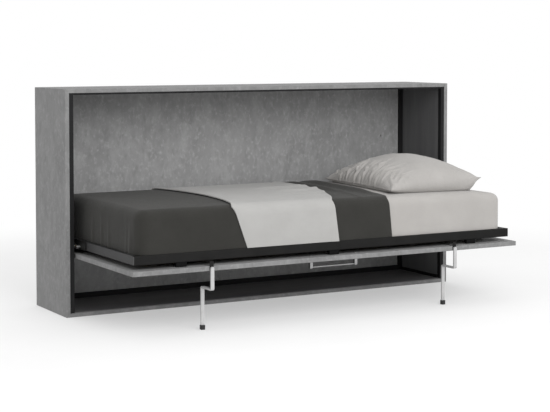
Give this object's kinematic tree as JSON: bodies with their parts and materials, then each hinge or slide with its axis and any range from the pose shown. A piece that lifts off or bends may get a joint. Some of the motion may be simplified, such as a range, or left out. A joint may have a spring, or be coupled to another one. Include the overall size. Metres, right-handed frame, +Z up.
{
  "type": "cabinet bed",
  "caption": "Low wall cabinet with a single bed that folds down sideways from its front onto folding bent-bar legs, made up with mattress, bedding and pillow.",
  "frame": {"origin": "on the floor, in the middle of the footprint of the cabinet with the bed folded down", "axes": "+X along the cabinet, +Y back to the wall, +Z up"},
  "size_m": [2.11, 1.0266, 1.035],
  "materials": {
    "cement_board": "cement-look melamine, matt, cloudy",
    "black_board": "black melamine, matt",
    "anthracite_board": "anthracite melamine, matt",
    "black_steel": "black powder coat",
    "black_plastic": "matt moulded plastic",
    "bush_bronze": "plain bearing",
    "bright_steel": "zinc plated",
    "leg_steel": "light silver-grey coat",
    "foot_rubber": "matt rubber",
    "handle_chrome": "polished",
    "strut_black": "black gloss",
    "slat_birch": "birch plywood",
    "mattress_ticking": "knitted ticking",
    "sheet_cotton": "plain cotton, warm light grey",
    "cover_cotton": "dark anthracite cotton",
    "throw_cotton": "pale grey cotton",
    "pillow_cotton": "plain cotton, warm light grey"
  },
  "bodies": {
    "cabinet": {"side_panel_left": "cement_board", "side_panel_right": "cement_board", "top_panel": "cement_board", "bottom_panel": "cement_board", "back_panel": "cement_board", "front_upright_left": "black_board", "front_upright_right": "black_board", "front_top_trim": "black_board", "lining_panel_left": "anthracite_board", "lining_panel_right": "anthracite_board", "rear_post_left": "black_board", "rear_post_right": "black_board", "rear_sill": "black_board", "floor_panel": "anthracite_board", "floor_strip_left": "black_board", "floor_strip_right": "black_board", "wall_plate_left": "black_steel", "wall_plate_right": "black_steel", "pivot_bushes": "bush_bronze", "anchor_studs": "bright_steel"},
    "bed": {"front_rail": "black_steel", "rear_rail": "black_steel", "side_rail_left": "black_steel", "side_rail_right": "black_steel", "rail_caps": "black_plastic", "slats": "slat_birch", "slat_holders": "black_plastic", "door_panel": "cement_board", "door_spacers": "black_plastic", "bed_plate_left": "black_steel", "bed_plate_right": "black_steel", "pivot_pins": "bright_steel", "bed_studs": "bright_steel", "leg_bracket_left": "leg_steel", "leg_bracket_right": "leg_steel", "leg_pin_left": "bright_steel", "leg_pin_right": "bright_steel", "handle_bar": "handle_chrome", "handle_foot_left": "handle_chrome", "handle_foot_right": "handle_chrome", "handle_screws": "bright_steel", "mattress": "mattress_ticking", "fitted_sheet": "sheet_cotton", "dark_cover": "cover_cotton", "throw": "throw_cotton", "pillow": "pillow_cotton"},
    "leg_left": {"leg_bar_left": "leg_steel", "leg_foot_left": "foot_rubber"},
    "leg_right": {"leg_bar_right": "leg_steel", "leg_foot_right": "foot_rubber"},
    "strut_tube_left": {"strut_tube_left": "strut_black"},
    "strut_rod_left": {"strut_rod_left": "bright_steel"},
    "strut_tube_right": {"strut_tube_right": "strut_black"},
    "strut_rod_right": {"strut_rod_right": "bright_steel"}
  },
  "joints": [
    {"name": "bed_swing", "type": "hinge", "parent": "cabinet", "child": "bed", "pos_m": [0, 0.1768, 0.3165], "axis": [-1, 0, 0], "range_deg": [0, 90], "deforming": ["pillow"]},
    {"name": "leg_fold_left", "type": "hinge", "parent": "bed", "child": "leg_left", "pos_m": [-0.64, -0.5083, 0.2785], "axis": [0, -1, 0], "range_deg": [0, 77]},
    {"name": "strut_swing_left", "type": "hinge", "parent": "cabinet", "child": "strut_tube_left", "pos_m": [-1.0025, 0.3483, 0.4], "axis": [-1, 0, 0], "range_deg": [0, 8.41]},
    {"name": "strut_slide_left", "type": "slide", "parent": "strut_tube_left", "child": "strut_rod_left", "axis": [0, 0.9398, 0.3417], "range_m": [0, 0.06299]},
    {"name": "leg_fold_right", "type": "hinge", "parent": "bed", "child": "leg_right", "pos_m": [0.64, -0.5083, 0.2785], "axis": [0, 1, 0], "range_deg": [0, 77]},
    {"name": "strut_swing_right", "type": "hinge", "parent": "cabinet", "child": "strut_tube_right", "pos_m": [1.0025, 0.3483, 0.4], "axis": [-1, 0, 0], "range_deg": [0, 8.41]},
    {"name": "strut_slide_right", "type": "slide", "parent": "strut_tube_right", "child": "strut_rod_right", "axis": [0, 0.9398, 0.3417], "range_m": [0, 0.06299]}
  ],
  "couplings": [
    {"joint": "strut_swing_left", "follows": "bed_swing", "ratio": 0.09128},
    {"joint": "strut_slide_left", "follows": "bed_swing", "m_per_rad": 0.03978},
    {"joint": "strut_swing_right", "follows": "bed_swing", "ratio": 0.09128},
    {"joint": "strut_slide_right", "follows": "bed_swing", "m_per_rad": 0.03978}
  ]
}
